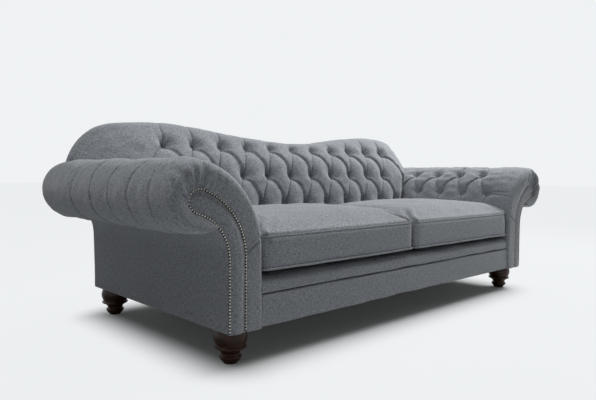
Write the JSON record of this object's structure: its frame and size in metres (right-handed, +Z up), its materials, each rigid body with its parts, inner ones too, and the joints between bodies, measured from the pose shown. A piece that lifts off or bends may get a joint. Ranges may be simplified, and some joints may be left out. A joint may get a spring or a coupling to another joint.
{
  "type": "chesterfield sofa",
  "caption": "Wide upholstered sofa with rolled scroll arms, nailed arm facings, a deep-buttoned serpentine back, loose piped seat cushions and turned feet, for sitting side by side.",
  "frame": {"origin": "on the floor, under the middle of the overall box", "axes": "+X to the right seen from the front, along the sofa; the front faces -Y; +Z up"},
  "size_m": [2.296, 0.964, 0.8],
  "materials": {
    "cover_fabric": "woven wool look, matt",
    "turned_wood": "dark walnut stain, satin lacquer",
    "frame_wood": "sawn beech and birch ply",
    "nail_brass": "antique",
    "fixing_steel": "zinc plated",
    "glide_plastic": "matt",
    "platform_cloth": "plain cloth",
    "webbing": "elastic webbing",
    "dust_cloth": "thin black cloth",
    "zip_tape": "woven tape with nylon coil",
    "zip_metal": "gunmetal"
  },
  "bodies": {
    "sofa": {"arm_buttons_left": "cover_fabric", "arm_buttons_right": "cover_fabric", "arm_facing_left": "cover_fabric", "arm_facing_right": "cover_fabric", "arm_front_board_left": "frame_wood", "arm_front_board_right": "frame_wood", "arm_lining_left": "frame_wood", "arm_lining_right": "frame_wood", "arm_rear_board_left": "frame_wood", "arm_rear_board_right": "frame_wood", "arm_tack_rail_left": "frame_wood", "arm_tack_rail_right": "frame_wood", "arm_top_rail_left": "frame_wood", "arm_top_rail_right": "frame_wood", "back_buttons": "cover_fabric", "back_rail": "frame_wood", "back_ribs": "frame_wood", "back_top_rail": "frame_wood", "centre_stretcher": "frame_wood", "corner_blocks": "frame_wood", "dust_cover": "dust_cloth", "foot_glides": "glide_plastic", "foot_studs": "fixing_steel", "foot_tee_nuts": "fixing_steel", "front_border": "cover_fabric", "front_lip": "cover_fabric", "front_rail": "frame_wood", "inside_arm_left": "cover_fabric", "inside_arm_right": "cover_fabric", "inside_back": "cover_fabric", "nail_strip_left": "nail_brass", "nail_strip_right": "nail_brass", "outside_arm_panel_left": "cover_fabric", "outside_arm_panel_right": "cover_fabric", "outside_back_panel": "cover_fabric", "seat_back_rail": "frame_wood", "seat_platform": "platform_cloth", "seat_webbing_cross": "webbing", "seat_webbing_long": "webbing", "side_rail_left": "frame_wood", "side_rail_right": "frame_wood", "turned_feet": "turned_wood"},
    "cushion_left": {"seat_cushion_left": "cover_fabric", "cushion_piping_left": "cover_fabric", "cushion_zip_left": "zip_tape"},
    "cushion_right": {"seat_cushion_right": "cover_fabric", "cushion_piping_right": "cover_fabric", "cushion_zip_right": "zip_tape"},
    "slider_left": {"zip_slider_left": "zip_metal"},
    "slider_right": {"zip_slider_right": "zip_metal"}
  },
  "joints": [
    {"name": "cushion_left_lift", "type": "slide", "parent": "sofa", "child": "cushion_left", "axis": [0, 0, 1], "range_m": [0, 0.56]},
    {"name": "cushion_right_lift", "type": "slide", "parent": "sofa", "child": "cushion_right", "axis": [0, 0, 1], "range_m": [0, 0.56]},
    {"name": "zip_left_slide", "type": "slide", "parent": "cushion_left", "child": "slider_left", "axis": [-1, 0, 0], "range_m": [0, 0.518]},
    {"name": "zip_right_slide", "type": "slide", "parent": "cushion_right", "child": "slider_right", "axis": [1, 0, 0], "range_m": [0, 0.518]}
  ]
}
